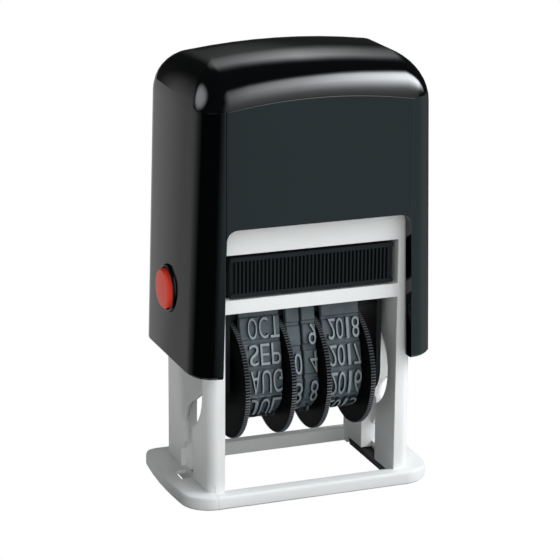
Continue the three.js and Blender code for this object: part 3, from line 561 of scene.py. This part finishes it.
def band_type(name, texts, left, pitch, width, at_rows):
    """Raised characters, turned over as type is: their tops point away from the print place."""
    whole = bmesh.new()
    for row, text in enumerate(texts):
        low = at_rows.middle(row) - CHARACTER_HEIGHT / 2
        for place, character in enumerate(text):
            flat = glyph_mesh(character)
            wide = width * NARROW_SHARES.get(character, 1.0)
            start = left + place * pitch + (width - wide) / 2
            extruded = bmesh.ops.extrude_face_region(flat, geom=list(flat.faces))
            tops = {g for g in extruded["geom"] if isinstance(g, bmesh.types.BMVert)}
            # Top faces take the type's colour, and sides and feet take the painted recess shade.
            for face in flat.faces:
                face.material_index = 0 if all(v in tops for v in face.verts) else 1
            for v in flat.verts:
                rise = FACE_RISE if v in tops else FOOT_RISE
                v.co = LOOP.place(start + wide * v.co.x, low + CHARACTER_HEIGHT * v.co.y, rise)
            part = bpy.data.meshes.new("part")
            flat.to_mesh(part)
            flat.free()
            whole.from_mesh(part)
            bpy.data.meshes.remove(part)
    obj = mesh_object(name + "_type", whole, TYPE, "date_unit", CHARACTER_SMOOTH_BELOW)
    obj.data.materials.append(RECESS_SHADE)


# Each band: its edges, its characters' left edge, pitch and width, and the rows' places at the front
BANDS = {
    "month": ((-9.5, -3.6025), (-8.5, 1.64, 1.34), [(2, 8.39), (5, 19.61)]),
    "day_tens": ((-2.6025, -0.5973), (-1.9, 1.2, 1.1), [(3, 10.07), (5, 18.0)]),
    "day_units": ((-0.2473, 1.7578), (0.46, 1.2, 1.1), [(3, 10.0), (5, 17.94)]),
    "year": ((2.7578, 8.4531), (3.45, 1.21, 1.1), [(3, 9.65), (5, 17.31)]),
}
MONTHS = ("DEC", "NOV", "OCT", "SEP", "AUG", "JUL", "JUN", "MAY", "APR", "MAR", "FEB", "JAN", "")
NEWEST_YEAR, NEWEST_ROW = 2018, 3
YEARS = ("2008", "2007", "") + tuple(str(NEWEST_YEAR - row) for row in range(ROWS - NEWEST_ROW))
TENS = ("2", "1", "", "", "0", "3", "2", "1", "0", "3", "2", "1", "0")
UNITS = ("1", "2", "", "9", "4", "8", "7", "6", "5", "3", "2", "1", "0")
TEXTS = {"month": MONTHS, "day_tens": TENS, "day_units": UNITS, "year": YEARS}

for name, ((left, right), (start, pitch, width), anchors) in BANDS.items():
    at_rows = Rows(anchors)
    belt = band_belt(name, left, right, at_rows)
    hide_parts(name + "_band")
    band_type(name, TEXTS[name], start, pitch, width, at_rows)


# Return spring, wound finer than the solid, between the deck and the bridge's crossbar
DECK_TOP = 37.45
CROSSBAR_BOTTOM = 58.4
SPRING_FIT = 0.3
SPRING_RADIUS = 3.5
SPRING_WIRE = 0.6
SPRING_CURLS = 6
SPRING_STEPS_PER_CURL = 28
SPRING_SIDES = 10
SPRING_SMOOTH_BELOW = math.radians(60.0)
SPRING_LOW = DECK_TOP + SPRING_FIT + SPRING_WIRE / 2
SPRING_HIGH = CROSSBAR_BOTTOM - SPRING_FIT - SPRING_WIRE / 2


def spring():
    steps, sides = SPRING_CURLS * SPRING_STEPS_PER_CURL, SPRING_SIDES
    bm = bmesh.new()
    rings = []
    for i in range(steps + 1):
        angle = 2 * math.pi * SPRING_CURLS * i / steps
        middle = Vector((SPRING_RADIUS * math.cos(angle), SPRING_RADIUS * math.sin(angle), 0.0))
        middle.z = SPRING_LOW + (SPRING_HIGH - SPRING_LOW) * i / steps
        out = Vector((math.cos(angle), math.sin(angle), 0.0))
        ring = []
        for k in range(sides):
            turn = 2 * math.pi * k / sides
            way = out * math.cos(turn) + Vector((0, 0, 1)) * math.sin(turn)
            ring.append(middle + way * SPRING_WIRE / 2)
        rings.append([bm.verts.new(p * MM) for p in ring])
    for a, b in zip(rings, rings[1:]):
        for k in range(sides):
            j = (k + 1) % sides
            bm.faces.new((a[k], a[j], b[j], b[k]))
    bm.faces.new(rings[0])
    bm.faces.new(rings[-1])
    obj = mesh_object("wound_spring", bm, STEEL, "frame", SPRING_SMOOTH_BELOW)
    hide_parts("return_spring")
    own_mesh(obj)


spring()


# Studio: white for the camera, and soft light at a plain level for everything else.
# Each round lamp has a direction, its full and its outer angle in degrees, a colour, and its strengths
# in glossy reflections and on matt faces.
LAMPS = (
    ((0.45, -0.88, 0.14), 5.0, 42.0, (1.0, 1.0, 1.0), 0.75, 0.0),
    ((0.10, -0.97, 0.20), 20.0, 55.0, (1.0, 1.0, 1.0), 0.0, 1.75),
    ((-0.88, 0.11, 0.455), 3.0, 29.0, (0.93, 0.97, 1.0), 4.2, 0.0),
    ((-0.85, 0.1, 0.5), 15.0, 50.0, (0.95, 0.98, 1.0), 0.0, 0.16),
    ((0.9, 0.2, 0.3), 20.0, 60.0, (1.0, 1.0, 1.0), 0.0, 0.2),
)
# Each long lamp has shares round the X axis (0 rear, 90 above, 180 front), shares along X, the turn in
# degrees it makes from one side to the other, a colour and the same two strengths.
LONG_LAMPS = (
    (
        ((88, 0.0), (92, 0.12), (97, 0.65), (102, 0.92), (109, 1.0), (115, 1.0), (121, 0.8), (128, 0.6),
         (135, 0.38), (142, 0.2), (150, 0.09), (160, 0.03), (175, 0.0)),
        ((-0.1, 0.0), (0.0, 0.03), (0.16, 0.105), (0.34, 0.38), (0.44, 0.68), (0.56, 1.0), (0.88, 0.95),
         (0.95, 0.35), (1.0, 0.0)),
        55.0, 0.44, (0.94, 0.97, 1.0), 19.0, 8.0,
    ),
    (
        ((12, 0.0), (22, 0.1), (30, 0.35), (36, 0.6), (45, 1.0), (50, 0.75), (55, 0.3), (59, 0.07),
         (63, 0.0)),
        ((-0.1, 0.0), (0.0, 0.1), (0.1, 0.22), (0.22, 0.4), (0.35, 1.0), (0.445, 0.52), (0.58, 0.05),
         (0.65, 0.0)),
        0.0, 0.0, (0.97, 0.99, 1.0), 2.7, 2.7,
    ),
    (
        ((-20, 1.0), (-5, 1.0), (0, 0.9), (10, 0.65), (15, 0.5), (20, 0.35), (26, 0.1), (30, 0.0)),
        ((-0.9, 0.0), (-0.8, 1.0), (-0.64, 1.0), (-0.55, 0.85), (-0.5, 0.45), (-0.42, 0.05), (-0.3, 0.0)),
        0.0, 0.0, (1.0, 1.0, 1.0), 0.6, 0.3,
    ),
)
TURN_UP_TO = 0.52
AMBIENT = 0.03
PURE_WHITE = (1.0, 1.0, 1.0, 1.0)


def studio_world():
    world = bpy.data.worlds.new("studio")
    bpy.context.scene.world = world
    world.use_nodes = True
    tree = Nodes(world.node_tree)
    out = tree.add("ShaderNodeOutputWorld")
    seen = tree.add("ShaderNodeBackground")
    seen.inputs["Color"].default_value = PURE_WHITE
    lit = tree.add("ShaderNodeBackground")
    where = tree.add("ShaderNodeTexCoord").outputs["Generated"]
    path = tree.add("ShaderNodeLightPath")
    lamps = []
    for way, inner, outer, colour, *strengths in LAMPS:
        toward = tree.vector("DOT_PRODUCT", where, Vector(way).normalized())
        edges = [math.cos(math.radians(angle)) for angle in (outer, inner)]
        lamps.append((tree.across(toward, edges, smooth=True), colour, strengths))
    x, y, z = tree.parts(where)
    around = tree.math("ARCTAN2", z, y)
    for round_shares, along_shares, turn, level_x, colour, *strengths in LONG_LAMPS:
        held = tree.math("MINIMUM", x, TURN_UP_TO)
        turned = tree.math("MULTIPLY_ADD", held, math.radians(turn), -math.radians(turn) * level_x)
        round_stops = [(math.radians(angle), share) for angle, share in round_shares]
        first = tree.ramp(tree.math("ADD", around, turned), -math.pi, math.pi, round_stops)
        second = tree.ramp(x, -1.0, 1.0, along_shares)
        lamps.append((tree.math("MULTIPLY", first, second), colour, strengths))
    total = (AMBIENT, AMBIENT, AMBIENT)
    for level, colour, (glossy, matt) in lamps:
        strength = tree.across(path.outputs["Is Glossy Ray"], (0.0, 1.0), (matt, glossy))
        bright = tree.math("MULTIPLY", level, strength)
        total = tree.vector("ADD", tree.vector("MULTIPLY", colour, bright), total)
    tree.link(total, lit.inputs["Color"])
    mix = tree.add("ShaderNodeMixShader")
    tree.link(path.outputs["Is Camera Ray"], mix.inputs["Fac"])
    tree.link(lit.outputs["Background"], mix.inputs[1])
    tree.link(seen.outputs["Background"], mix.inputs[2])
    tree.link(mix.outputs["Shader"], out.inputs["Surface"])


# The table's brightness as a glossy face sees it, by bearing in degrees: 0 rear, 90 left, -90 right
TABLE = (
    (-180, (0.40, 0.53, 0.58)), (-161, (0.54, 0.73, 0.79)), (-125, (0.50, 0.66, 0.72)),
    (-105, (0.58, 0.72, 0.76)), (-88, 0.42), (-78, 0.36), (-66, 0.05), (-11, 0.1), (-6, 0.3), (5, 0.6),
    (19, 0.72), (24, 0.655), (35, 0.63), (45, 0.54), (69, 0.74), (80, 0.55), (89, 0.33), (104, 0.0),
    (157, 0.0), (163, 0.1), (169, (0.19, 0.24, 0.26)), (180, (0.40, 0.53, 0.58)),
)
# The table's glow on matt faces, and the share of it that is left in the shade under the stamp
TABLE_GLOW = 0.75
SHADED_SHARE = 0.12
# In millimetres: how far the full shade and its edge reach, half the floor's size, and its depth below zero
SHADE_NEAR, SHADE_FAR = 14.0, 60.0
FLOOR_HALF = 3000.0
FLOOR_DROP = 0.1


def floor():
    material = bpy.data.materials.new("white_table")
    material.use_nodes = True
    tree = Nodes(material.node_tree)
    out = tree.add("ShaderNodeOutputMaterial")
    where = tree.add("ShaderNodeNewGeometry").outputs["Position"]
    path = tree.add("ShaderNodeLightPath")
    x, y, _ = tree.parts(where)
    bearing = tree.math("ARCTAN2", tree.math("MULTIPLY", x, -1.0), y)
    stops = [(math.radians(angle), level) for angle, level in TABLE]
    glossy = tree.ramp(bearing, -math.pi, math.pi, stops)
    shade = tree.across(tree.vector("LENGTH", where), (SHADE_NEAR * MM, SHADE_FAR * MM),
                        (TABLE_GLOW * SHADED_SHARE, TABLE_GLOW), smooth=True)
    lit = tree.mix(path.outputs["Is Glossy Ray"], shade, glossy)
    seen = tree.mix(path.outputs["Is Camera Ray"], lit, PURE_WHITE)
    glow = tree.add("ShaderNodeEmission")
    tree.link(seen, glow.inputs["Color"])
    tree.link(glow.outputs["Emission"], out.inputs["Surface"])
    data = bpy.data.meshes.new("floor")
    half = FLOOR_HALF * MM
    corners = [(-half, -half, 0), (half, -half, 0), (half, half, 0), (-half, half, 0)]
    data.from_pydata(corners, [], [(0, 1, 2, 3)])
    data.materials.append(material)
    obj = bpy.data.objects.new("floor", data)
    obj.location.z = -FLOOR_DROP * MM
    bpy.context.scene.collection.objects.link(obj)


studio_world()
floor()

bpy.context.scene.view_settings.view_transform = "Standard"
